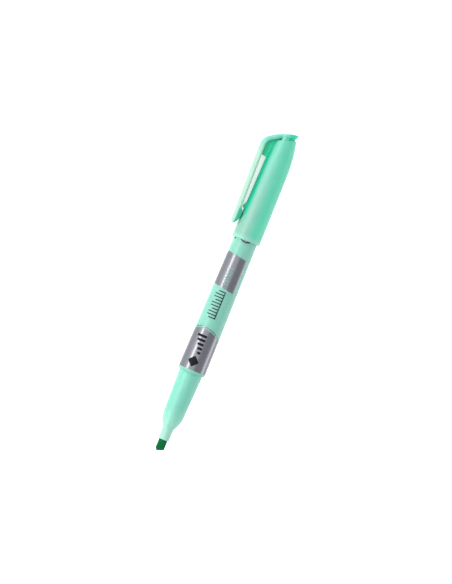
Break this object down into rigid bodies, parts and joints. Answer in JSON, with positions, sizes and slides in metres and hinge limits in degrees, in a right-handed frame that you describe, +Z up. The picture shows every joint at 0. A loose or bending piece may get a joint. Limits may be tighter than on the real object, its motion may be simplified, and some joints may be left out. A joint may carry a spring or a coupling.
{
  "type": "highlighter",
  "caption": "Slim pocket highlighter lying on its side, uncapped, with its clip cap pushed on the back of the barrel and a chisel nib showing.",
  "frame": {"origin": "middle of the bounding box's underside: the surface that the pen lies on, halfway along it and halfway across it", "axes": "+X along the pen's axis, towards the nib; +Z up; the clip is on the -Y side, turned below the horizontal until its lower edge rests on the surface"},
  "size_m": [0.1502, 0.0162, 0.0126],
  "materials": {
    "mint_plastic": "satin moulded polypropylene, pastel mint",
    "cap_plastic": "satin moulded polypropylene, pastel mint",
    "natural_plastic": "matt moulded polyethylene",
    "nib_fibre": "bonded fibre, wet with ink",
    "reservoir_fibre": "fibre wadding soaked in ink",
    "clear_film": "clear film",
    "silver_foil": "hot-stamped silver foil"
  },
  "bodies": {
    "pen_body": {"barrel": "mint_plastic", "front_section": "mint_plastic", "nib": "nib_fibre", "ink_reservoir": "reservoir_fibre", "reservoir_film": "clear_film", "tail_plug": "mint_plastic", "lower_foil_band": "silver_foil", "upper_foil_panel": "silver_foil", "rear_foil_disc": "silver_foil"},
    "cap": {"cap_tube": "cap_plastic", "cap_inner_seal": "natural_plastic", "clip_top": "cap_plastic"},
    "clip": {"clip_arm": "cap_plastic"}
  },
  "joints": [
    {"name": "cap_slide", "type": "slide", "parent": "pen_body", "child": "cap", "axis": [-1, 0, 0], "range_m": [0, 0.035]},
    {"name": "clip_flex", "type": "hinge", "parent": "cap", "child": "clip", "pos_m": [-0.06076, -0.00777, 0.0018], "axis": [0, 0.4286, -0.9035], "range_deg": [0, 5], "stiffness_Nm_per_rad": 0.5}
  ]
}
